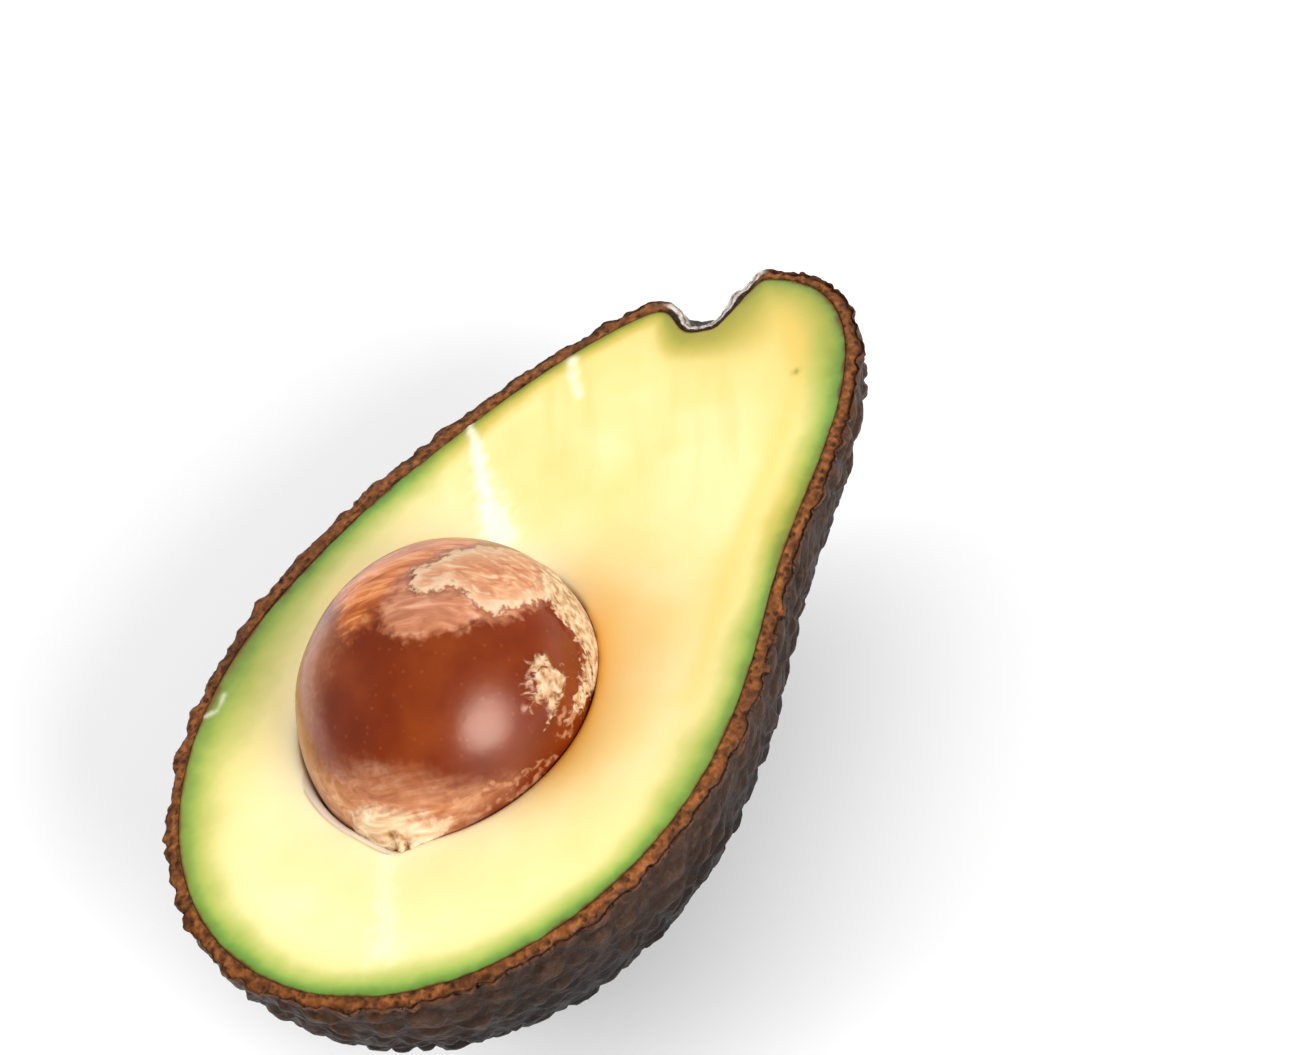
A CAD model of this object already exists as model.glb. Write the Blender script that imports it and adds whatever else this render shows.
# Half of a ripe Hass-type avocado, cut side up, with its seed still in the socket.
# Shapes are worked out in millimetres, with z 0 on the cut face, and are set in the part's frame,
# in metres, when they are finished.
import math

import bmesh
import bpy
from mathutils import Matrix, Quaternion, Vector, kdtree, noise


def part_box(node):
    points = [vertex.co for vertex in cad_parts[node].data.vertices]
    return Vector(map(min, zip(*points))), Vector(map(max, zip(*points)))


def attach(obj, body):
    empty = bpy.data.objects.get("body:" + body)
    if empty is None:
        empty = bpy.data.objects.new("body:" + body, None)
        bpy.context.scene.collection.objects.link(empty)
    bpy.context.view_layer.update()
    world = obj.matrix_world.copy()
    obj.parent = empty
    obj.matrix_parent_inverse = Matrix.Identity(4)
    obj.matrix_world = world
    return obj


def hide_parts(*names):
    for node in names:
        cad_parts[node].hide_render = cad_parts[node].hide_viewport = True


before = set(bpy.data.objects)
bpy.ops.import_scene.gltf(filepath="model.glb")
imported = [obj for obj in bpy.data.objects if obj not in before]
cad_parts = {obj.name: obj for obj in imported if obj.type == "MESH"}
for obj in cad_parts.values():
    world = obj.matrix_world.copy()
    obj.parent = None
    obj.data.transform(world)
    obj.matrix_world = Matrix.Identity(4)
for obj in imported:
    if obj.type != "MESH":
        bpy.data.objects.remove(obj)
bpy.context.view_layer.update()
mm = 0.001
noise.seed_set(7)  # every run draws the same noise
onCut = -1e-4  # what lies above this belongs to the cut face

# The fruit's outline. Its lengths come from the frame, and the rest are the part's own proportions.
fleshLow, fleshHigh = (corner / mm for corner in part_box("flesh"))
cutHeight = fleshHigh.z
fruit = {
    "widestX": -4.0,
    "bluntX": fleshLow.x,
    "neckX": fleshHigh.x,
    "halfWidth": fleshHigh.y,
    "depthToWidth": 0.97,
    "depth": fleshHigh.z - fleshLow.z,  # less than the width gives, because it rests on a flat spot
    "neckSlimming": 0.13,
    "neckSlimmedBy": 0.6,
    "neckBend": 7.5,
    "bendStarts": 26.0,
    "bendPower": 1.3,
    "hollowY": -0.2,  # where the stalk sat: its wall is much steeper on the tip's side
    "hollowDepth": 8.2,
    "hollowToTip": 2.35,
    "hollowFromTip": 5.7,
    "hollowDown": 4.5,
    "hollowPowerDown": 3,
    "hollowWithin": 0.5,  # it fades in over this share of the neck
    "hollowPowerToTip": 4.0,
    "hollowPower": 2.9,
    "crowding": 0.35,  # rings lie closer together at the neck
    "ringsAlong": 400,
    "mergeWithin": 1e-5,  # on the unit sphere
}


def smoothstep(share):
    share = min(max(share, 0.0), 1.0)
    return share * share * (3.0 - 2.0 * share)


def bell(distance, width):
    return math.exp(-((distance / width) ** 2))


def rise(value, ends):
    # 0 at the first end and 1 at the second, smooth between them
    start, end = ends
    return smoothstep((value - start) / (end - start))


def near(point, spot):
    # how near a place is to the middle of a spot, which is 1
    x, y, reach = spot
    return bell(math.hypot(point.x - x, point.y - y), reach)


def inZone(point, zone):
    # how far inside a zone a place is, from 0 to 1
    endsX, endsY = zone
    return rise(point.x, endsX) * rise(point.y, endsY)


def flatPath(places):
    return [Vector((x, y, 0.0)) for x, y in places]


def hollowShare(y, z):
    # share of the stalk hollow's depth at a place on the neck's end
    side = y - fruit["hollowY"]
    reach, power = fruit["hollowToTip"], fruit["hollowPowerToTip"]
    if side > 0.0:
        reach, power = fruit["hollowFromTip"], fruit["hollowPower"]
    sideways = abs(side / reach) ** power
    down = abs(z / fruit["hollowDown"]) ** fruit["hollowPowerDown"]
    return math.exp(-sideways - down)


def inHollow(point):
    # how deep in the stalk's hollow a place is, from 0 to 1
    return hollowShare(point.y, point.z) if point.x > fruit["bendStarts"] else 0.0


def fruitPoint(direction):
    # where a ray of the unit sphere meets the flesh, with the neck at +X
    angle = math.acos(min(max(direction.x, -1.0), 1.0))
    turned = angle - fruit["crowding"] * math.sin(angle)
    across = Vector((0.0, direction.y, direction.z))
    if across.length:
        across.normalize()
    along = math.cos(turned)
    across *= math.sin(turned)
    x = along * (fruit["neckX"] - fruit["widestX"] if along > 0.0 else fruit["widestX"] - fruit["bluntX"])
    wide = fruit["halfWidth"] * (1.0 - fruit["neckSlimming"] * smoothstep(along / fruit["neckSlimmedBy"]))
    neckLength = fruit["neckX"] - fruit["widestX"]
    bend = max(x - fruit["bendStarts"], 0.0) / (neckLength - fruit["bendStarts"])
    y = wide * across.y - fruit["neckBend"] * bend ** fruit["bendPower"]
    z = max(wide * fruit["depthToWidth"] * across.z, -fruit["depth"])
    if along > 0.0:
        x -= fruit["hollowDepth"] * hollowShare(y, z) * smoothstep(along / fruit["hollowWithin"])
    return Vector((fruit["widestX"] + x, y, z))


def nearest(tree, point):
    return tree.find(point)[2]


def pathTree(points):
    tree = kdtree.KDTree(len(points))
    for index, point in enumerate(points):
        tree.insert(point, index)
    tree.balance()
    return tree


def pathDistance(point, path):
    # shortest distance from a point to a line through the path's points
    found = (point - path[0]).length
    for start, end in zip(path, path[1:]):
        stretch = end - start
        share = min(max((point - start).dot(stretch) / stretch.length_squared, 0.0), 1.0)
        found = min(found, (point - start - stretch * share).length)
    return found


# Shared ways of making a shell

def halfShell(facetsRound, place):
    # the lower half of a sphere: half a circle spun half a turn round X, each vertex then moved to
    # where place says
    shape = bmesh.new()
    bmesh.ops.create_circle(shape, segments=2 * fruit["ringsAlong"], radius=1.0)
    bmesh.ops.bisect_plane(shape, geom=shape.verts[:] + shape.edges[:], dist=fruit["mergeWithin"],
                           plane_co=(0, 0, 0), plane_no=(0, -1, 0), clear_outer=True)
    bmesh.ops.spin(shape, geom=shape.verts[:] + shape.edges[:], axis=(1, 0, 0), cent=(0, 0, 0),
                   angle=-math.pi, steps=facetsRound // 2, use_merge=False)
    bmesh.ops.remove_doubles(shape, verts=shape.verts, dist=fruit["mergeWithin"])
    for vert in shape.verts:
        rim = vert.is_boundary
        vert.co = place(vert.co.normalized())
        if rim:
            vert.co.z = 0.0
    return shape


def grow(shape, thickness):
    # moves each vertex outwards by what thickness says there; the rim stays on the cut face
    shape.normal_update()
    moves = []
    for vert in shape.verts:
        outward = vert.normal.copy()
        if vert.is_boundary:
            outward.z = 0.0
            outward.normalize()
        moves.append(outward * thickness(vert.co))
    for vert, move in zip(shape.verts, moves):
        vert.co += move


def rimPoints(shape):
    return [vert.co.copy() for vert in shape.verts if vert.is_boundary]


def closeAcross(shape, inner, cuts):
    # adds the inner shell facing the other way, and bridges the two rims with a finely cut ring
    bmesh.ops.reverse_faces(inner, faces=inner.faces)
    mesh = bpy.data.meshes.new("inner")
    inner.to_mesh(mesh)
    inner.free()
    shape.from_mesh(mesh)
    bpy.data.meshes.remove(mesh)
    rims = [edge for edge in shape.edges if edge.is_boundary]
    bridge = bmesh.ops.bridge_loops(shape, edges=rims)
    rimSet = set(rims)
    spokes = [edge for edge in {e for face in bridge["faces"] for e in face.edges} if edge not in rimSet]
    bmesh.ops.subdivide_edges(shape, edges=spokes, cuts=cuts, use_grid_fill=True)


def addPiece(name, shape, material, node):
    bmesh.ops.recalc_face_normals(shape, faces=shape.faces)
    bmesh.ops.translate(shape, verts=shape.verts, vec=(0, 0, cutHeight))
    bmesh.ops.scale(shape, verts=shape.verts, vec=(mm, mm, mm))
    mesh = bpy.data.meshes.new(name)
    shape.to_mesh(mesh)
    shape.free()
    mesh.shade_smooth()
    mesh.materials.append(material)
    piece = bpy.data.objects.new(name, mesh)
    bpy.context.scene.collection.objects.link(piece)
    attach(piece, "root")
    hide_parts(node)
    print(name, len(mesh.polygons), "faces")
    return piece


# Shared ways of making a material

def hexColour(code):
    parts = [int(code[i:i + 2], 16) / 255 for i in (1, 3, 5)]
    return tuple(p / 12.92 if p <= 0.04045 else ((p + 0.055) / 1.055) ** 2.4 for p in parts) + (1.0,)


def addNode(tree, kind, inputs=(), stops=None, limits=(), **settings):
    # stops are a ramp's places and colours; limits are a Map Range's start and end, then what it
    # gives at each
    node = tree.nodes.new("ShaderNode" + kind)
    for name, value in settings.items():
        setattr(node, name, value)
    for socket, value in {**dict(inputs), **dict(enumerate(limits, start=1))}.items():
        if isinstance(value, bpy.types.NodeSocket):
            tree.links.new(value, node.inputs[socket])
        else:
            node.inputs[socket].default_value = value
    if stops:
        ramp = node.color_ramp
        while len(ramp.elements) < len(stops):
            ramp.elements.new(1.0)
        for element, (place, code) in zip(ramp.elements, stops):
            element.position = place
            element.color = hexColour(code)
    return node


def startMaterial(name, shine, layers=(), noises=()):
    # a new material with its shader, and Object coordinates in millimetres. The sources are the
    # mesh's own layers and the noises, each noise with its pitch in millimetres and its detail.
    material = bpy.data.materials.new(name)
    material.use_nodes = True
    tree = material.node_tree
    shader = tree.nodes["Principled BSDF"]
    for socket, value in shine.items():
        shader.inputs[socket].default_value = value
    place = addNode(tree, "TexCoord").outputs["Object"]
    inMm = addNode(tree, "VectorMath", {0: place, "Scale": 1 / mm}, operation="SCALE").outputs[0]
    sources = {layer: addNode(tree, "Attribute", attribute_name=layer).outputs["Fac"] for layer in layers}
    for source, (pitch, detail) in dict(noises).items():
        inputs = {"Vector": inMm, "Scale": 1 / pitch, "Detail": detail}
        sources[source] = addNode(tree, "TexNoise", inputs).outputs[0]
    return material, tree, shader, inMm, sources


def layColours(tree, colour, layers):
    # lays colours over one another in turn, each with the share that it covers
    for share, upper in layers:
        upper = hexColour(upper) if isinstance(upper, str) else upper
        colour = addNode(tree, "Mix", {0: share, 6: colour, 7: upper}, data_type="RGBA").outputs[2]
    return colour


def finishMaterial(tree, shader, colour, height, relief):
    # relief is how high the bumps are, in millimetres, and how strongly they show
    distance, strength = relief
    tree.links.new(colour, shader.inputs["Base Color"])
    inputs = {"Height": height, "Distance": distance * mm, "Strength": strength}
    tree.links.new(addNode(tree, "Bump", inputs).outputs[0], shader.inputs["Normal"])


# The skin: a thick pebbled rind, reddish brown and granular where the knife went through it
skin = {
    "facetsRound": 400,
    "innerFacetsRound": 24,
    "innerGap": 0.02,
    "rimCuts": 8,
    "thickness": 1.45,
    "pebbleHeight": 0.95,
    "pebblePitch": 3.1,
    "pebbleStretch": 1.3,
    "grooveShare": 0.5,
    "domeDrop": 0.35,  # how much lower a pebble is at its edge than in its middle
    "pebbleMean": 0.62,  # pebbles differ in height, about this mean and by this spread
    "pebbleSpread": 0.38,
    "pebbleRate": 3.7,
    "wander": 1.3,
    "wanderPitch": 7.0,
    "swell": 0.3,
    "swellPitch": 11.0,
    "wrinkle": 0.2,
    "wrinklePitch": 1.6,
    "wrinkleOctaves": 2,
    "hollowShare": 0.65,
    "thickSpots": [  # where the rind is thicker: its place, how much more, and its reach
        (Vector((58.3, 9.0, 0.0)), 0.5, 3.0),
        (Vector((34.0, 24.0, 0.0)), 0.6, 14.0),
        (Vector((12.0, 32.0, 0.0)), 0.9, 16.0),
        (Vector((50.0, 17.0, 0.0)), 0.4, 6.0),
    ],
    "shred": 0.35,  # how far the cut edge's outline is torn, and how far down that reaches
    "shredReach": 1.2,
    "shredPitch": 1.1,
    "shredNoise": (0.8, 2.0, 2),
    "lipReach": 1.3,
    "scarSteepness": 3.0,
    "wornReach": 15.0,  # the near side's rim is worn down to its dark outside
    "worn": 0.12,
    "wornPitch": 1.5,
    "rimEnds": 0.82,
    "rimBlend": 0.2,
    "rimRoll": 0.5,
    "rimGrain": 0.3,
    "rimGrainPitch": 0.8,
    "fineGrain": 0.5,
    "fineGrainRate": 2.3,
    "grainFromFlesh": 4.0,
    "grainFromOutside": 6.0,
    "shine": {"Specular IOR Level": 0.14},
    "noises": {"blotch": (9.0, 3.0), "grain": (0.9, 4.0), "wander": (2.4, 3.0), "dried": (4.5, 4.0)},
    "porePitch": 1.1,  # about one dark pore each millimetre along the cut edge
    "limits": {  # where each share starts and ends, then what it gives at each
        "height": (cutHeight - 24.0, cutHeight - 1.0),
        "wander": (0.3, 0.7, -0.28, 0.28),
        "pore": (0.14, 0.36, 0.65, 0.0),
        "dried": (0.48, 0.68, 0.0, 0.5),
        "cork": (0.42, 0.56),
        "roughness": (0.0, 1.0, 0.36, 0.6),
    },
    "shares": {"tops": 0.5, "fleck": 0.35, "rimBrown": 0.5, "lip": 0.6},
    "ramps": {
        "brown": ("blotch", [(0.3, "#1a0d06"), (0.5, "#2e1b0f"), (0.7, "#452c1a")]),
        "tops": ("raised", [(0.0, "#140a05"), (0.35, "#301d10"), (0.9, "#66482f")]),
        "fleck": ("grain", [(0.35, "#160b06"), (0.55, "#382417"), (0.75, "#6b503a")]),
        # lighter and redder by the cut, where the rind dries first, and darkest near the underside
        "shade": ("height", [(0.0, "#352d26"), (0.5, "#756c64"), (1.0, "#fff8f2")]),
        "rimBrown": ("grain", [(0.3, "#1a0b05"), (0.43, "#532a12"), (0.56, "#8c5026"),
                               (0.78, "#bf7f48")]),
        "edge": ("edge", [(0.0, "#4c3010"), (0.1, "#5a3411"), (0.3, "#925626"), (0.55, "#7f4a22"),
                          (0.8, "#46290f"), (1.0, "#26170c")]),
        "cork": ("grain", [(0.3, "#8d7a6b"), (0.5, "#d3c8bd"), (0.7, "#ece5dd")]),
    },
    "colours": {"pore": "#26140b", "dried": "#301a0e", "scarLine": "#2c1c10", "lip": "#6c442b",
                "scarOutside": "#3a2a20"},
    "relief": (0.5, 0.8),
}


def pebbleShare(point):
    # how high the skin's pebbles stand at a place, from 0 in the grooves to 1
    wander = noise.noise_vector(point / skin["wanderPitch"]) * skin["wander"]
    moved = point + wander
    cell = Vector((moved.x / skin["pebbleStretch"], moved.y, moved.z)) / skin["pebblePitch"]
    distances, places = noise.voronoi(cell)
    dome = smoothstep((distances[1] - distances[0]) / skin["grooveShare"])
    dome *= 1.0 - skin["domeDrop"] * min(distances[0], 1.0) ** 2
    tall = skin["pebbleMean"] + skin["pebbleSpread"] * noise.noise(places[0] * skin["pebbleRate"])
    return dome * tall


def skinThickness(point):
    wrinkle = noise.turbulence(point / skin["wrinklePitch"], skin["wrinkleOctaves"], False)
    swell = noise.noise(point / skin["swellPitch"])
    torn = noise.fractal(point / skin["shredPitch"], *skin["shredNoise"])
    torn *= bell(point.z, skin["shredReach"])
    full = skin["thickness"] + skin["pebbleHeight"] * pebbleShare(point)
    full += skin["wrinkle"] * wrinkle + skin["swell"] * swell + skin["shred"] * torn
    full += sum(more * bell((point - spot).length, reach) for spot, more, reach in skin["thickSpots"])
    return full * (1.0 - (1.0 - skin["hollowShare"]) * inHollow(point))


def makeSkin():
    shape = halfShell(skin["facetsRound"], fruitPoint)
    raisedLayer, lipLayer = (shape.verts.layers.float.new(name) for name in ("raised", "lip"))
    for vert in shape.verts:
        vert[raisedLayer] = pebbleShare(vert.co)
        vert[lipLayer] = smoothstep(1.0 + vert.co.z / skin["lipReach"])
    grow(shape, skinThickness)
    for vert in shape.verts:
        vert.co.z = max(vert.co.z, -cutHeight)
    inner = halfShell(skin["innerFacetsRound"], fruitPoint)
    grow(inner, lambda point: skin["innerGap"])
    outside, inside = pathTree(rimPoints(shape)), pathTree(rimPoints(inner))
    closeAcross(shape, inner, skin["rimCuts"])
    newLayer = shape.verts.layers.float.new
    rimLayer, acrossLayer, scarLayer = (newLayer(name) for name in ("rim", "across", "scar"))
    for vert in shape.verts:
        point = vert.co.copy()
        vert[scarLayer] = smoothstep(skin["scarSteepness"] * inHollow(point))
        if point.z > onCut:
            fromFlesh, fromOutside = nearest(inside, point), nearest(outside, point)
            across = fromFlesh / max(fromFlesh + fromOutside, 1e-6)
            vert[acrossLayer] = across
            nearSide = smoothstep(-point.y / skin["wornReach"])
            worn = skin["worn"] * nearSide * (1.0 + noise.noise(point / skin["wornPitch"]))
            vert[rimLayer] = 1.0 - smoothstep((across - skin["rimEnds"] + worn) / skin["rimBlend"])
            grain = noise.noise(point / skin["rimGrainPitch"])
            grain += skin["fineGrain"] * noise.noise(point * skin["fineGrainRate"])
            inward = smoothstep(skin["grainFromFlesh"] * across)
            inward *= smoothstep(skin["grainFromOutside"] * (1.0 - across))
            vert.co.z += skin["rimGrain"] * grain * inward
            vert.co.z -= skin["rimRoll"] * (1.0 + nearSide) * across**3
    return addPiece("pebbledSkin", shape, pebbledRind(), "skin")


def pebbledRind():
    # Hass rind, grown: nearly black brown, waxy on the pebbles and matt in the grooves. The cut
    # edge is drying to a granular red brown.
    material, tree, shader, place, sources = startMaterial(
        "hassRind", skin["shine"], ("rim", "across", "scar", "raised", "lip"), skin["noises"])
    limits, shares, colours = skin["limits"], skin["shares"], skin["colours"]
    rim, across, scar, lip, grain = (sources[name] for name in ("rim", "across", "scar", "lip", "grain"))
    height = addNode(tree, "SeparateXYZ", {0: place}).outputs[2]
    sources["height"] = addNode(tree, "MapRange", {0: height}, limits=limits["height"]).outputs[0]
    wander = addNode(tree, "MapRange", {0: sources["wander"]}, limits=limits["wander"]).outputs[0]
    sources["edge"] = addNode(tree, "Math", {0: across, 1: wander}, operation="ADD").outputs[0]
    ramps = {name: addNode(tree, "ValToRGB", {0: sources[source]}, stops=stops).outputs[0]
             for name, (source, stops) in skin["ramps"].items()}
    cork = ramps["cork"]

    # the outside: brown, paler on the pebbles' tops
    outside = layColours(tree, ramps["brown"], [(shares[name], ramps[name]) for name in ("tops", "fleck")])
    outside = addNode(tree, "Mix", {0: 1.0, 6: outside, 7: ramps["shade"]}, data_type="RGBA",
                      blend_type="MULTIPLY").outputs[2]

    # the cut edge, with dark pores and dried patches. At the stalk's scar it is a dark line at the
    # flesh and dry grey cork outside it.
    poreInputs = {"Vector": place, "Scale": 1 / skin["porePitch"]}
    pore = addNode(tree, "TexVoronoi", poreInputs).outputs["Distance"]
    poreShare = addNode(tree, "MapRange", {0: pore}, limits=limits["pore"]).outputs[0]
    driedShare = addNode(tree, "MapRange", {0: sources["dried"]}, limits=limits["dried"]).outputs[0]
    corkEdge = addNode(tree, "MapRange", {0: across}, limits=limits["cork"]).outputs[0]
    scarColour = layColours(tree, hexColour(colours["scarLine"]), [(corkEdge, cork)])
    rimColour = layColours(tree, ramps["edge"], [
        (shares["rimBrown"], ramps["rimBrown"]),
        (poreShare, colours["pore"]),
        (driedShare, colours["dried"]),
        (scar, scarColour),
    ])

    corkShare = addNode(tree, "Math", {0: scar, 1: lip}, operation="MULTIPLY").outputs[0]
    lipShare = addNode(tree, "Math", {0: lip, 1: shares["lip"]}, operation="MULTIPLY").outputs[0]
    colour = layColours(tree, outside, [
        (lipShare, colours["lip"]),
        (scar, colours["scarOutside"]),
        (corkShare, cork),
        (rim, rimColour),
    ])
    rough = addNode(tree, "MapRange", {0: grain}, limits=limits["roughness"]).outputs[0]
    tree.links.new(rough, shader.inputs["Roughness"])
    pitted = addNode(tree, "Math", {0: grain, 1: poreShare}, operation="SUBTRACT").outputs[0]
    height = addNode(tree, "Mix", {0: rim, 2: grain, 3: pitted}, data_type="FLOAT").outputs[0]
    finishMaterial(tree, shader, colour, height, skin["relief"])
    return material


# The flesh: firm and pale, green under the rind, with the marks that the knife left. Its places
# are on the cut face: a spot is x, y and its reach, and a zone is where it starts and is full
# along x and along y.
flesh = {
    "facetsRound": 24,
    "faceCuts": 76,
    "wave": 0.22,
    "wavePitch": 16.0,
    "waveMargin": 2.0,
    "rindRound": 0.1,  # how far the face is rounded down at the rind, and how wide
    "rindWidth": 0.4,
    "lipRound": 0.25,  # the same at the socket's lip
    "lipWidth": 0.4,
    "socketWithin": 26.0,  # below the cut, what is nearer the middle than this is the socket's wall
    "bandEnds": 8.0,
    # the green band is thin by the stalk's hollow, and widest in the neck's taller lobe and by the seed
    "tallLobe": ((22.0, 36.0), (2.0, 8.0)),
    "lobeNarrows": 0.35,
    "widerSpots": [(59.0, -13.0, 12.0), (-12.0, 28.0, 16.0)],
    "widerBy": 1.1,
    "goldSpots": [((56.5, 2.0, 9.0), 1.0), ((33.0, -25.0, 9.0), 0.85)],
    "amberZone": ((-2.0, 14.0), (-6.0, -12.0)),
    "amberLine": (6.0, 1.5),  # how far in from the rind it runs, and its width
    "farZone": ((12.0, -8.0), (8.0, 22.0)),
    "farAmber": 0.15,
    "tipAmber": (62.0, -9.0, 9.0),
    "tipAmberFrom": 5.0,
    # the flesh is orange beside the seed, fully in this zone and a little elsewhere
    "glowZone": ((-22.0, -6.0), (4.0, -12.0)),
    "glowElsewhere": 0.15,
    "glowFade": 5.4,
    "hollowTint": (57.5, -0.5, 7.5),
    "hollowTintFade": 2.6,
    "tipTint": (60.0, -10.0, 11.0),
    "tipTintFrom": 2.5,
    "tipTintFade": 5.0,
    "speck": (53.2, -15.0, 0.45),
    "paleBySeed": 0.6,
    "paleFade": 2.2,
    # where the seed has shrunk from its socket, the lip shows as a pale crescent with a thin dry line
    "crescent": [(-20.4, 10.8), (-23.2, 5.4), (-24.0, 1.6), (-23.6, -0.6)],
    "crescentFull": 1.6,
    "crescentReach": 3.0,
    "gapSlope": 0.5,
    "gapWidth": 0.95,
    "gapBlend": 0.3,
    "lineFade": 2.0,
    # pale marks: where the line runs, how wide it is at each end, how high it stands and how pale it is
    "knifeMarks": [
        {"path": [(34.5, 22.2), (30.6, 18.7), (26.5, 15.3), (19.6, 9.0)], "width": (0.45, 2.1),
         "height": 0.3, "pale": 0.85},
        {"path": [(47.7, 14.6), (44.8, 12.5), (42.7, 10.5)], "width": (0.75, 0.45),
         "height": 0.15, "pale": 0.65},
        {"path": [(-24.6, -1.5), (-28.9, -4.2), (-36.4, -8.8)], "width": (0.9, 1.7),
         "height": 0.05, "pale": 0.35},
        {"path": [(-11.2, 30.6), (-13.4, 30.2), (-14.6, 31.2)], "width": (0.35, 0.3),
         "height": 0.2, "pale": 0.45},
    ],
    "markRagged": 0.7,
    "markPitch": 1.7,
    "markNoise": (0.8, 2.0, 3),
    "shine": {"Roughness": 0.4, "Specular IOR Level": 0.22, "Subsurface Weight": 0.15,
              "Subsurface Scale": 0.002, "Subsurface Radius": (1.0, 0.8, 0.35)},
    "noises": {"cloud": (14.0, 2.0), "fine": (2.6, 3.0)},
    "fibreTurn": math.radians(30),
    "fibreSize": (34.0, 5.0, 5.0),  # faint vascular threads along the neck, about 5 mm apart
    "fibreDetail": 2.0,
    "limits": {
        "along": (fruit["bluntX"], fruit["neckX"]),
        "neck": (22.0, 40.0, 0.0, 0.3),
        "thread": (0.48, 0.75),
        "ragged": (0.3, 0.7, -0.22, 0.22),
        "width": (0.3, 0.7, 0.75, 1.25),
        "inner": (0.3, 0.85),
        "line": (0.05, 0.25, 0.55, 0.0),
    },
    "shares": {"warm": 0.45, "gold": 0.8, "amber": 0.55},
    "ramps": {
        "inner": ("along", [(0.0, "#faf0b4"), (0.28, "#f7e29e"), (0.6, "#f5da90"), (0.9, "#f1d27c")]),
        "warm": ("cloud", [(0.35, "#f9ebba"), (0.5, "#f6df9c"), (0.68, "#f2d282")]),
        "green": ("depth", [(0.0, "#54300f"), (0.02, "#5c4c16"), (0.045, "#5c8030"), (0.11, "#72983c"),
                            (0.19, "#98b04e"), (0.28, "#b6be62"), (0.4, "#cccb78"), (0.54, "#dfd98c")]),
        "golden": ("depth", [(0.0, "#64401a"), (0.04, "#867521"), (0.11, "#8f8a26"), (0.19, "#aaa038"),
                             (0.27, "#c3ae47"), (0.4, "#d5b858"), (0.56, "#e3cd72")]),
    },
    "colours": {"thread": "#eebb58", "amber": "#efcb6a", "glow": "#e09c38", "tint": "#a89a3c",
                "pale": "#fffbe0", "gap": "#fdf8e4", "line": "#b0925a"},
    "relief": (0.08, 0.5),
}


# What the cut face's layers hold: how deep a place is in the green band, and how much it shows of
# each of the others
fleshLayers = ("band", "glow", "pale", "tint", "gold", "gap", "line", "amber")


def markStrength(mark, point):
    path = flatPath(mark["path"])
    span = (path[-1] - path[0]).length
    share = min(max((point - path[0]).dot(path[-1] - path[0]) / span**2, 0.0), 1.0)
    width = mark["width"][0] + (mark["width"][1] - mark["width"][0]) * share
    ragged = noise.fractal(point / flesh["markPitch"], *flesh["markNoise"])
    ragged *= flesh["markRagged"] * width
    return mark["pale"] * bell(max(pathDistance(point, path) + ragged, 0.0), width)


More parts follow.
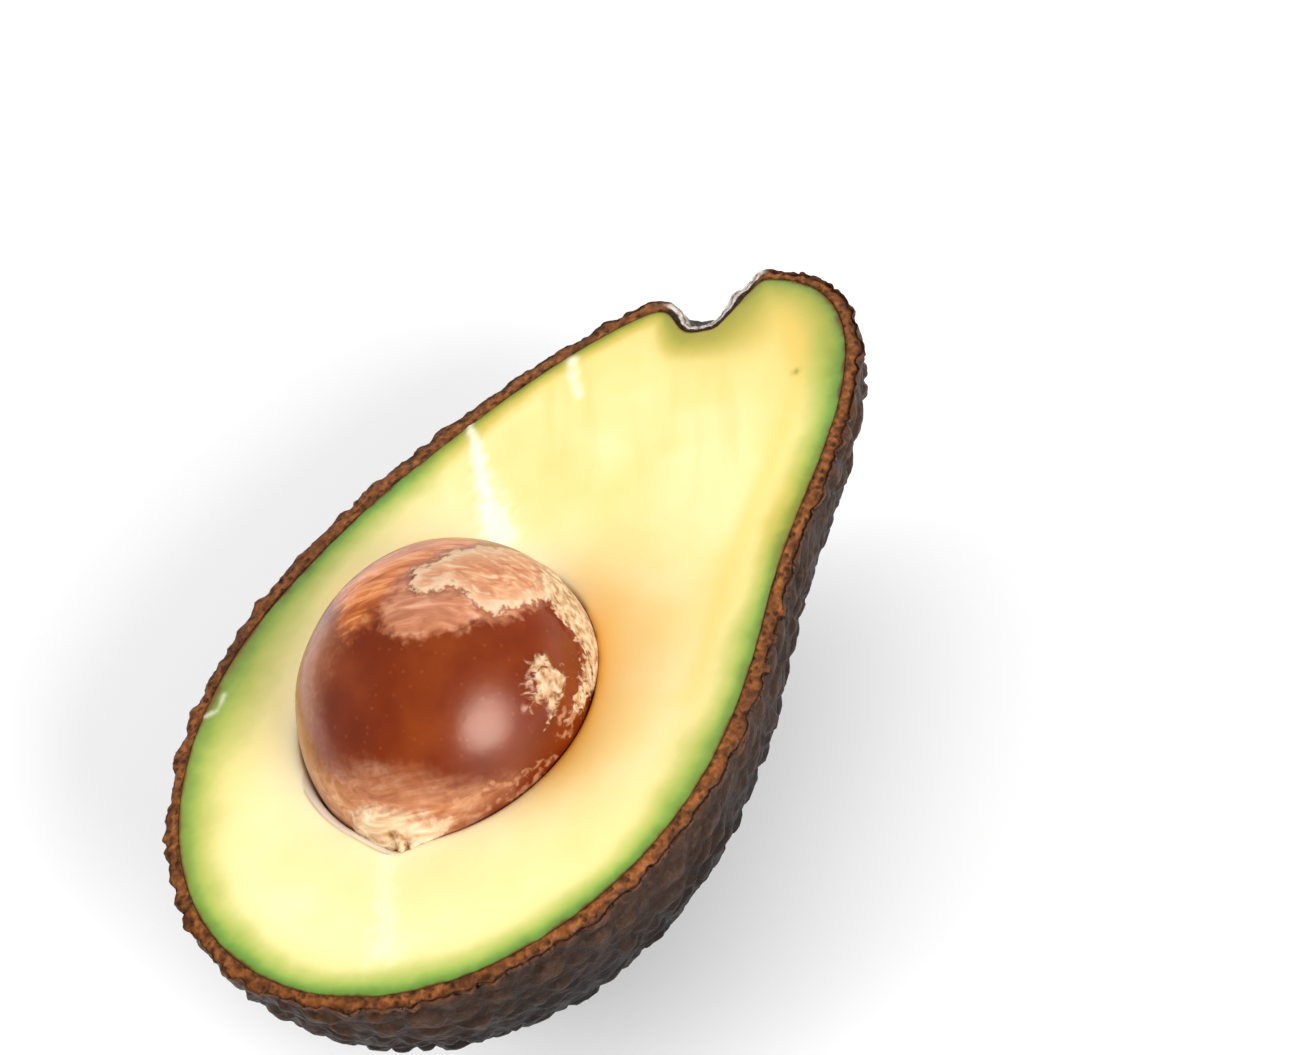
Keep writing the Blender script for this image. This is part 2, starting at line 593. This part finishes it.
def makeFlesh():
    shape = halfShell(flesh["facetsRound"], fruitPoint)
    socket = halfShell(flesh["facetsRound"], socketPoint)
    rind, lip = pathTree(rimPoints(shape)), pathTree(rimPoints(socket))
    closeAcross(shape, socket, flesh["faceCuts"])
    layers = {name: shape.verts.layers.float.new(name) for name in fleshLayers}
    arc = flatPath(flesh["crescent"])
    for vert in shape.verts:
        point = vert.co.copy()
        if point.z < onCut:
            vert[layers["band"]] = 0.0 if point.length > flesh["socketWithin"] else flesh["bandEnds"]
            continue
        fromRind, fromSeed = nearest(rind, point), nearest(lip, point)
        onLobe = inZone(point, flesh["tallLobe"])
        wider = sum(flesh["widerBy"] * near(point, spot) for spot in flesh["widerSpots"])
        vert[layers["band"]] = fromRind / (1.0 - flesh["lobeNarrows"] * onLobe + wider)
        golds = [share * near(point, spot) for spot, share in flesh["goldSpots"]]
        vert[layers["gold"]] = max(onLobe, *golds)
        lineAt, lineWidth = flesh["amberLine"]
        amber = inZone(point, flesh["amberZone"]) * bell(fromRind - lineAt, lineWidth)
        amber += flesh["farAmber"] * inZone(point, flesh["farZone"])
        amber += near(point, flesh["tipAmber"]) * smoothstep(fromRind / flesh["tipAmberFrom"])
        vert[layers["amber"]] = amber
        byArc = smoothstep(flesh["crescentFull"] - pathDistance(point, arc) / flesh["crescentReach"])
        gapWidth = flesh["gapWidth"] * byArc
        gap = byArc * smoothstep((gapWidth - fromSeed) / flesh["gapBlend"] + 0.5)
        vert[layers["gap"]] = gap
        vert[layers["line"]] = abs(fromSeed - gapWidth) + flesh["lineFade"] * (1.0 - byArc)
        inGlow = inZone(point, flesh["glowZone"])
        glow = flesh["glowElsewhere"] + (1.0 - flesh["glowElsewhere"]) * inGlow
        vert[layers["glow"]] = math.exp(-fromSeed / flesh["glowFade"]) * glow
        tint = near(point, flesh["tipTint"]) * smoothstep(fromRind / flesh["tipTintFrom"])
        tint *= math.exp(-fromRind / flesh["tipTintFade"])
        tint += near(point, flesh["hollowTint"]) * math.exp(-fromRind / flesh["hollowTintFade"])
        vert[layers["tint"]] = tint + near(point, flesh["speck"])
        pale = flesh["paleBySeed"] * math.exp(-fromSeed / flesh["paleFade"]) * (1.0 - inGlow)
        for mark in flesh["knifeMarks"]:
            strength = markStrength(mark, point)
            pale += (1.0 - pale) * strength
            vert.co.z += mark["height"] * strength
        vert[layers["pale"]] = pale
        inside = smoothstep(fromRind / flesh["waveMargin"]) * smoothstep(fromSeed / flesh["waveMargin"])
        vert.co.z += flesh["wave"] * noise.noise(point / flesh["wavePitch"]) * inside
        vert.co.z -= flesh["lipRound"] * math.exp(-fromSeed / flesh["lipWidth"])
        vert.co.z -= flesh["gapSlope"] * gap * max(1.0 - fromSeed / flesh["gapWidth"], 0.0)
        vert.co.z -= flesh["rindRound"] * math.exp(-fromRind / flesh["rindWidth"])
    return addPiece("cutFlesh", shape, ripeFlesh(), "flesh")


def ripeFlesh():
    # Ripe avocado flesh, cut with a knife: soft, moist and slightly see-through, pale butter yellow
    # that turns green and then olive under the rind.
    material, tree, shader, place, sources = startMaterial(
        "avocadoFlesh", flesh["shine"], fleshLayers, flesh["noises"])
    limits, shares, colours = flesh["limits"], flesh["shares"], flesh["colours"]
    cloud, fine = sources["cloud"], sources["fine"]
    along = addNode(tree, "SeparateXYZ", {0: place}).outputs[0]
    sources["along"] = addNode(tree, "MapRange", {0: along}, limits=limits["along"]).outputs[0]

    # the band's inner side is ragged, and its width differs from place to place
    ragged = addNode(tree, "MapRange", {0: fine}, limits=limits["ragged"]).outputs[0]
    width = addNode(tree, "MapRange", {0: cloud}, limits=limits["width"]).outputs[0]
    depth = addNode(tree, "Math", {0: sources["band"], 1: width}, operation="MULTIPLY").outputs[0]
    depth = addNode(tree, "Math", {0: depth, 1: ragged}, operation="ADD").outputs[0]
    depth = addNode(tree, "Math", {0: depth, 1: flesh["bandEnds"]}, operation="DIVIDE").outputs[0]
    sources["depth"] = depth
    ramps = {name: addNode(tree, "ValToRGB", {0: sources[source]}, stops=stops).outputs[0]
             for name, (source, stops) in flesh["ramps"].items()}

    fibreInputs = {"Vector": place, "Rotation": (0.0, 0.0, flesh["fibreTurn"]),
                   "Scale": flesh["fibreSize"]}
    fibrePlace = addNode(tree, "Mapping", fibreInputs, vector_type="TEXTURE").outputs[0]
    noiseInputs = {"Vector": fibrePlace, "Scale": 1.0, "Detail": flesh["fibreDetail"]}
    fibre = addNode(tree, "TexNoise", noiseInputs).outputs[0]
    thread = addNode(tree, "MapRange", {0: fibre}, limits=limits["thread"],
                     interpolation_type="SMOOTHSTEP").outputs[0]
    neckShare = addNode(tree, "MapRange", {0: along}, limits=limits["neck"]).outputs[0]
    threadShare = addNode(tree, "Math", {0: thread, 1: neckShare}, operation="MULTIPLY").outputs[0]
    butter = layColours(tree, ramps["inner"], [
        (shares["warm"], ramps["warm"]),
        (threadShare, colours["thread"]),
    ])

    goldShare, amberShare = (
        addNode(tree, "Math", {0: sources[name], 1: shares[name]}, operation="MULTIPLY").outputs[0]
        for name in ("gold", "amber"))
    innerShare = addNode(tree, "MapRange", {0: depth}, limits=limits["inner"],
                         interpolation_type="SMOOTHSTEP").outputs[0]
    lineShare = addNode(tree, "MapRange", {0: sources["line"]}, limits=limits["line"]).outputs[0]
    layers = [(goldShare, ramps["golden"]), (innerShare, butter), (amberShare, colours["amber"])]
    layers += [(sources[name], colours[name]) for name in ("glow", "tint", "pale", "gap")]
    colour = layColours(tree, ramps["green"], layers + [(lineShare, colours["line"])])
    finishMaterial(tree, shader, colour, fine, flesh["relief"])
    return material


# The seed: a polished brown coat with the remains of a papery outer one
seed = {
    "centre": Vector((-3.1, 2.9, -1.5)),
    "halfSize": Vector((20.0, 17.9, 18.4)),
    "turn": math.radians(15),
    "taper": 0.07,
    "tip": 1.1,
    "tipRadius": 0.2,
    "socketGap": 0.3,
    "subdivisions": 7,
    "dimple": 0.12,
    "dimplePitch": 7.0,
    # The marks are given in millimetres right and up of the seed's centre, as it is seen from above
    # the blunt end, along the first of these directions
    "lookFrom": Vector((-0.429, -0.530, 0.731)),
    "lookRight": Vector((0.484, -0.819, -0.310)),
    "lookUp": Vector((0.763, 0.221, 0.608)),
    # Each area has an outline, how far inside it the thickness is full, and that thickness
    "areas": {
        # pink film with a pale edge, torn off along its lower side
        "film": ([(-3.2, 12), (-4.2, 13.5), (-4.4, 15.5), (-1.5, 17), (3, 18), (8, 18.5), (12.5, 17),
                  (13.5, 14), (12, 11.5), (7, 11), (4.5, 10.3), (2, 12), (0, 13.4), (-1.5, 12.3)],
                 0.5, 0.16),
        # thinner pink bloom below it
        "bloom": ([(-9, 11.5), (-6.5, 14), (-4, 16), (4.5, 17), (9, 14.5), (12.5, 11), (8, 9), (3, 8),
                   (-2.5, 6.5), (-5.5, 6.5), (-8.5, 8.5)], 0.6, 0.05),
        # dry tan shreds along the right side, and a patch beside them
        "shreds": ([(10, 17), (14.5, 16), (18.5, 12), (20.5, 7), (20, 3), (16.5, 1), (13, -3.5), (14, 1),
                    (15, 4), (13.5, 7.5), (11, 10.5), (9.5, 13.5)], 0.3, 0.22),
        "patch": ([(8.5, 5), (10.5, 6), (13.5, 3), (12.5, 0), (11, -2.5), (10, 0), (8.5, -0.5), (9, 1.5)],
                  0.3, 0.18),
        # beige bloom over the tip's end, and the thick pale fringe inside it
        "beige": ([(-18.5, -5), (-13, -6.5), (-9, -6.5), (-4, -7.2), (1, -8), (5, -8.5), (7.5, -8),
                   (6.5, -10.5), (4, -13), (3, -17), (-2.5, -20.5), (-9.5, -19.5), (-16.5, -13.5)],
                  2.5, 0.03),
        "fringe": ([(-11.5, -12), (-8, -11), (-4, -12), (1, -13), (-0.5, -15), (-3, -17.5), (-5, -19),
                    (-8.5, -18.5), (-11, -14)], 0.5, 0.3),
        # rusty streaks along the far left edge, and a paler sheen below them
        "rust": ([(-12, 7.5), (-7.5, 11), (-4.5, 14.5), (-1, 16.5), (4, 18), (10, 18.5), (10, 22),
                  (-5, 20.5), (-13.5, 13)], 1.6, 0.04),
        "sheen": ([(-22, -7), (-15.5, -5.5), (-15, 1), (-14, 4.5), (-12, 8), (-16, 12), (-22, 6)],
                  2.0, 0.0),
    },
    "strokes": [
        [(1, -11), (4.5, -9.5), (8, -8), (10.5, -6.5)],
        [(2, -12.5), (6, -11), (9, -9), (12, -6)],
        [(13, -3.5), (14, -1), (15.5, 1.5)],
        [(12, -3.5), (13, -0.5)],
        [(6, -13), (7, -12.5)],
    ],
    "ragged": 0.7,  # how far the outlines wander, in large and in small
    "raggedPitch": 2.6,
    "fineRagged": 0.4,
    "fineRaggedRate": 1.4,
    "markedTo": -0.5,  # the marks are worked out as far round as this, where 1 is full on
    "fadeOver": (0.15, -0.45),  # and sink by fadeDepth between these, so that no area ends in an edge
    "fadeDepth": 11.0,
    "outOfReach": 9.0,
    # the torn tuft by the tip, a spot with its reach, and the pit in it
    "tuft": (-5.0, -16.2, 1.7),
    "tuftHeight": 1.3,
    "tuftMean": 0.35,
    "tuftPitch": 1.1,
    "tuftNoise": (0.7, 2.0, 3),
    "tuftFadeOver": (-0.3, 0.0),
    "pit": (-6.4, -14.8, 0.9),
    "pitDepth": 0.8,
    "pitShows": 0.9,
    "shine": {"Specular IOR Level": 0.5, "Specular Tint": hexColour("#ffdcc8"), "Subsurface Weight": 0.0},
    "noises": {"cloud": (8.0, 3.0), "fine": (0.9, 4.0)},
    "streakTurn": math.radians(-59),
    "streakSize": (6.0, 1.3, 1.3),  # streaks run round the seed, about 1.3 mm apart
    "streakDetail": 4.0,
    "streakDistortion": 0.8,
    "speckPitch": 1.3,
    "limits": {
        "frayed": (0.3, 0.7, -0.5, 0.5),
        "torn": (0.3, 0.7, -1.1, 1.1),
        "speck": (0.06, 0.2, 0.22, 0.0),
        "stroke": (-0.1, 0.35, 0.5, 0.0),
        "roughness": (0.0, 1.0, 0.28, 0.7),
        "relief": (0.0, 1.0, 0.15, 1.0),  # the bare coat is almost smooth
    },
    # How the layers show: the area, the noise that moves its edge, and the limits of its depth
    "covers": {
        "rust": ("rust", "frayed", (-1.2, 1.6, 0.0, 0.9)),
        "sheen": ("sheen", "frayed", (-2.0, 2.5, 0.0, 0.5)),
        "bloom": ("bloom", "frayed", (0.3, 1.8, 0.0, 0.85)),
        "beige": ("beige", "frayed", (-1.5, 4.5, 0.0, 0.85)),
        "filmLine": ("film", "frayed", (-0.5, -0.1, 0.0, 0.45)),
        "film": ("film", "frayed", (-0.1, 0.5, 0.0, 0.95)),
        "filmInside": ("film", "torn", (0.3, 1.7, 0.0, 0.95)),
        "filmRough": ("film", "frayed", (-0.1, 0.5, 0.0, 1.0)),
        "shreds": ("shreds", "torn", (0.1, 0.9, 0.0, 0.95)),
        "patch": ("patch", "torn", (-0.1, 0.8, 0.0, 0.72)),
        "fringe": ("fringe", "frayed", (-0.6, 1.4, 0.0, 0.92)),
    },
    "ramps": {
        "coat": ("cloud", [(0.3, "#601c03"), (0.5, "#6c2404"), (0.7, "#7c310a")]),
        "rust": ("streak", [(0.35, "#a8521e"), (0.5, "#d2783a"), (0.65, "#ea9f68")]),
        "sheen": ("streak", [(0.3, "#a0643f"), (0.5, "#b4764e"), (0.7, "#c88e68")]),
        "bloom": ("streak", [(0.3, "#985838"), (0.5, "#be7a55"), (0.7, "#dca583")]),
        "beige": ("streak", [(0.3, "#9c5c3c"), (0.5, "#bf805a"), (0.7, "#d8a480")]),
        "film": ("streak", [(0.3, "#a65c3a"), (0.45, "#bf7c54"), (0.58, "#cf976e"), (0.7, "#dcb68e")]),
        "shreds": ("fine", [(0.3, "#8a603c"), (0.45, "#c09c72"), (0.6, "#dac09c"), (0.75, "#e8d6ba")]),
        "fringe": ("streak", [(0.3, "#c09670"), (0.5, "#e2c6a2"), (0.7, "#f0dec2")]),
        "tuft": ("fine", [(0.36, "#5a3a1c"), (0.46, "#b07a40"), (0.56, "#d8b080"), (0.7, "#ecd2a8")]),
    },
    "colours": {"speck": "#a9582a", "stroke": "#c8946c", "filmLine": "#6b3018", "filmEdge": "#dab896"},
    "relief": (0.14, 0.7),
}


def seedPoint(direction):
    long, wide, high = seed["halfSize"]
    taper = 1.0 - seed["taper"] * max(-direction.x, 0.0) ** 2
    offTip = (Vector((-1.0, 0.0, 0.0)) - direction).length
    tip = seed["tip"] * bell(offTip, seed["tipRadius"])
    point = Vector((long * direction.x - tip, wide * taper * direction.y, high * taper * direction.z))
    point.rotate(Matrix.Rotation(seed["turn"], 3, "Z"))
    return point + seed["centre"]


def socketPoint(direction):
    point = seedPoint(direction)
    return point + (point - seed["centre"]).normalized() * seed["socketGap"]


def depthInside(spot, outline):
    # how far a flat spot is inside an outline, or less than 0 outside it
    found, inside = 1e9, False
    for (x0, y0), (x1, y1) in zip(outline, outline[1:] + outline[:1]):
        alongX, alongY, offX, offY = x1 - x0, y1 - y0, spot[0] - x0, spot[1] - y0
        share = min(max((offX * alongX + offY * alongY) / (alongX**2 + alongY**2), 0.0), 1.0)
        found = min(found, math.hypot(offX - alongX * share, offY - alongY * share))
        if (y0 > spot[1]) != (y1 > spot[1]) and offX < alongX * offY / alongY:
            inside = not inside
    return found if inside else -found


def makeSeed():
    shape = bmesh.new()
    bmesh.ops.create_icosphere(shape, subdivisions=seed["subdivisions"], radius=1.0)
    layers = {name: shape.verts.layers.float.new(name) for name in (*seed["areas"], "stroke", "tuft")}
    lines = [flatPath(stroke) for stroke in seed["strokes"]]
    for vert in shape.verts:
        point = seedPoint(vert.co.normalized())
        fromCentre = point - seed["centre"]
        outward = fromCentre.normalized()
        lift = seed["dimple"] * noise.noise(point / seed["dimplePitch"])
        facing = outward.dot(seed["lookFrom"])
        if facing > seed["markedTo"]:
            spot = Vector((fromCentre.dot(seed["lookRight"]), fromCentre.dot(seed["lookUp"]), 0.0))
            moved = spot + seed["ragged"] * noise.noise_vector(point / seed["raggedPitch"])
            fineWander = noise.noise_vector(point * seed["fineRaggedRate"])
            moved += seed["fineRagged"] * seed["ragged"] * fineWander
            sunk = seed["fadeDepth"] * rise(facing, seed["fadeOver"])
            for name, (outline, blend, thickness) in seed["areas"].items():
                depth = depthInside(moved, outline) - sunk
                vert[layers[name]] = depth
                lift += thickness * smoothstep(depth / blend)
            flat = Vector((moved.x, moved.y, 0.0))
            vert[layers["stroke"]] = min(pathDistance(flat, line) for line in lines)
            inFront = rise(facing, seed["tuftFadeOver"])
            tuft, pit = near(spot, seed["tuft"]) * inFront, near(spot, seed["pit"]) * inFront
            vert[layers["tuft"]] = max(tuft, seed["pitShows"] * pit)
            torn = seed["tuftMean"] + noise.fractal(point / seed["tuftPitch"], *seed["tuftNoise"])
            lift += seed["tuftHeight"] * tuft * torn - seed["pitDepth"] * pit
        else:
            for name in seed["areas"]:
                vert[layers[name]] = -seed["outOfReach"]
            vert[layers["stroke"]] = seed["outOfReach"]
            vert[layers["tuft"]] = 0.0
        vert.co = point + outward * lift
    return addPiece("wholeSeed", shape, seedCoat(), "seed")


def seedCoat():
    # Avocado seed, grown: a hard glossy chestnut coat, with torn papery tissue dried onto it.
    material, tree, shader, place, sources = startMaterial(
        "avocadoSeedCoat", seed["shine"], (*seed["areas"], "stroke", "tuft"), seed["noises"])
    limits, colours = seed["limits"], seed["colours"]
    streakInputs = {"Vector": place, "Rotation": (0.0, 0.0, seed["streakTurn"]),
                    "Scale": seed["streakSize"]}
    streakPlace = addNode(tree, "Mapping", streakInputs, vector_type="TEXTURE").outputs[0]
    noiseInputs = {"Vector": streakPlace, "Scale": 1.0, "Detail": seed["streakDetail"],
                   "Distortion": seed["streakDistortion"]}
    sources["streak"] = addNode(tree, "TexNoise", noiseInputs).outputs[0]
    ramps = {name: addNode(tree, "ValToRGB", {0: sources[source]}, stops=stops).outputs[0]
             for name, (source, stops) in seed["ramps"].items()}

    moves = {}
    for name, source in (("frayed", "fine"), ("torn", "streak")):
        moves[name] = addNode(tree, "MapRange", {0: sources[source]}, limits=limits[name]).outputs[0]
    covers = {}
    for name, (area, move, coverLimits) in seed["covers"].items():
        depth = addNode(tree, "Math", {0: sources[area], 1: moves[move]}, operation="ADD").outputs[0]
        covers[name] = addNode(tree, "MapRange", {0: depth}, limits=coverLimits,
                               interpolation_type="SMOOTHSTEP").outputs[0]

    speckInputs = {"Vector": place, "Scale": 1 / seed["speckPitch"]}
    speck = addNode(tree, "TexVoronoi", speckInputs).outputs["Distance"]
    speckShare = addNode(tree, "MapRange", {0: speck}, limits=limits["speck"]).outputs[0]
    stroke = addNode(tree, "Math", {0: sources["stroke"], 1: moves["frayed"]}, operation="ADD").outputs[0]
    strokeShare = addNode(tree, "MapRange", {0: stroke}, limits=limits["stroke"]).outputs[0]
    # the film: a dark line where it lifts, a pale torn edge, and pink with streaks inside
    film = layColours(tree, hexColour(colours["filmEdge"]), [(covers["filmInside"], ramps["film"])])
    layers = [(speckShare, colours["speck"])]
    layers += [(covers[name], ramps[name]) for name in ("rust", "sheen", "bloom", "beige")]
    layers += [(strokeShare, colours["stroke"]), (covers["filmLine"], colours["filmLine"])]
    layers += [(covers["film"], film)]
    layers += [(covers["shreds"], ramps["shreds"]), (covers["patch"], ramps["shreds"])]
    layers += [(covers["fringe"], ramps["fringe"]), (sources["tuft"], ramps["tuft"])]
    colour = layColours(tree, ramps["coat"], layers)

    # the papery parts stand up a little and are rough
    covered = covers["filmRough"]
    for name in ("shreds", "patch", "fringe"):
        covered = addNode(tree, "Math", {0: covered, 1: covers[name]}, operation="MAXIMUM").outputs[0]
    rough = addNode(tree, "MapRange", {0: covered}, limits=limits["roughness"]).outputs[0]
    tree.links.new(rough, shader.inputs["Roughness"])
    relief = addNode(tree, "MapRange", {0: covered}, limits=limits["relief"]).outputs[0]
    height = addNode(tree, "Math", {0: sources["fine"], 1: relief}, operation="MULTIPLY").outputs[0]
    height = addNode(tree, "Math", {0: covered, 1: height}, operation="ADD").outputs[0]
    finishMaterial(tree, shader, colour, height, seed["relief"])
    return material


# The studio: a white floor, one big soft light behind, one at the left that only lifts the shadows,
# and a small one by the camera
studio = {
    "floorSize": 6.0,
    "floorGap": 0.00005,  # keeps the floor from lying in the plane of the flat spot
    "floorShine": {"Base Color": hexColour("#f6f6f6"), "Roughness": 0.9, "Specular IOR Level": 0.1},
    "worldColour": "#ffffff",
    "worldStrength": 0.35,
    "backLight": {"towards": (0.75, 0.25, 0.6), "away": 2.2, "size": 3.1, "power": 34.0},
    "sideLight": {"towards": (-0.45, 0.80, 0.42), "away": 1.4, "size": 1.2, "power": 16.0},
    "frontLight": {"towards": (-0.23, -0.89, 0.40), "away": 0.9, "size": 0.54, "power": 10.4},
}
view = {
    "lens": 100.0,
    "sensor": 36.0,
    "clip": (0.01, 20.0),
    "away": 0.41667,
    "azimuth": -39.0,
    "elevation": 47.0,
    "roll": -27.0,
    "aim": Vector((2.957, -2.457, 0.0)),  # a place on the cut face, which lands on the pixel below
    "aimPixel": (510, 666),
    "imageSize": (1290, 1055),
}


def makeFloor():
    shape = bmesh.new()
    bmesh.ops.create_grid(shape, x_segments=2, y_segments=2, size=studio["floorSize"] / 2)
    bmesh.ops.translate(shape, verts=shape.verts, vec=(0, 0, -studio["floorGap"]))
    mesh = bpy.data.meshes.new("floor")
    shape.to_mesh(mesh)
    shape.free()
    # photo studio paper: matt and nearly white
    mesh.materials.append(startMaterial("mattPaperSweep", studio["floorShine"])[0])
    floor = bpy.data.objects.new("floor", mesh)
    bpy.context.scene.collection.objects.link(floor)


def makeLight(name, setting):
    data = bpy.data.lights.new(name, "AREA")
    data.shape = "DISK"
    data.size = setting["size"]
    data.energy = setting["power"]
    light = bpy.data.objects.new(name, data)
    towards = Vector(setting["towards"]).normalized()
    light.location = towards * setting["away"]
    light.rotation_mode = "QUATERNION"
    light.rotation_quaternion = (-towards).to_track_quat("-Z", "Y")
    bpy.context.scene.collection.objects.link(light)
    return light


def makeCamera():
    data = bpy.data.cameras.new("camera")
    data.lens = view["lens"]
    data.sensor_width = view["sensor"]
    data.clip_start, data.clip_end = view["clip"]
    azimuth, elevation = math.radians(view["azimuth"]), math.radians(view["elevation"])
    back = Vector((math.sin(azimuth) * math.cos(elevation), -math.cos(azimuth) * math.cos(elevation),
                   math.sin(elevation)))
    camera = bpy.data.objects.new("camera", data)
    aim = (view["aim"] + Vector((0, 0, cutHeight))) * mm
    camera.location = aim + back * view["away"]
    wide, high = view["imageSize"]
    aimX, aimY = view["aimPixel"]
    perPixel = view["sensor"] / wide / view["lens"]
    ray = Vector(((aimX - wide / 2) * perPixel, (high / 2 - aimY) * perPixel, -1))
    offCentre = ray.rotation_difference(Vector((0, 0, -1)))
    camera.rotation_mode = "QUATERNION"
    roll = Quaternion((0, 0, 1), math.radians(view["roll"]))
    camera.rotation_quaternion = (-back).to_track_quat("-Z", "Y") @ roll @ offCentre
    bpy.context.scene.collection.objects.link(camera)
    bpy.context.scene.camera = camera


def makeWorld():
    world = bpy.data.worlds.new("studio")
    world.use_nodes = True
    background = world.node_tree.nodes["Background"]
    background.inputs["Color"].default_value = hexColour(studio["worldColour"])
    background.inputs["Strength"].default_value = studio["worldStrength"]
    bpy.context.scene.world = world
    bpy.context.scene.view_settings.view_transform = "Standard"


makeFloor()
makeWorld()
makeLight("backLight", studio["backLight"])
makeLight("sideLight", studio["sideLight"]).visible_glossy = False  # it only lifts the shadows
makeLight("frontLight", studio["frontLight"])
makeCamera()
print("studio ready")
makeSkin()
makeFlesh()
makeSeed()
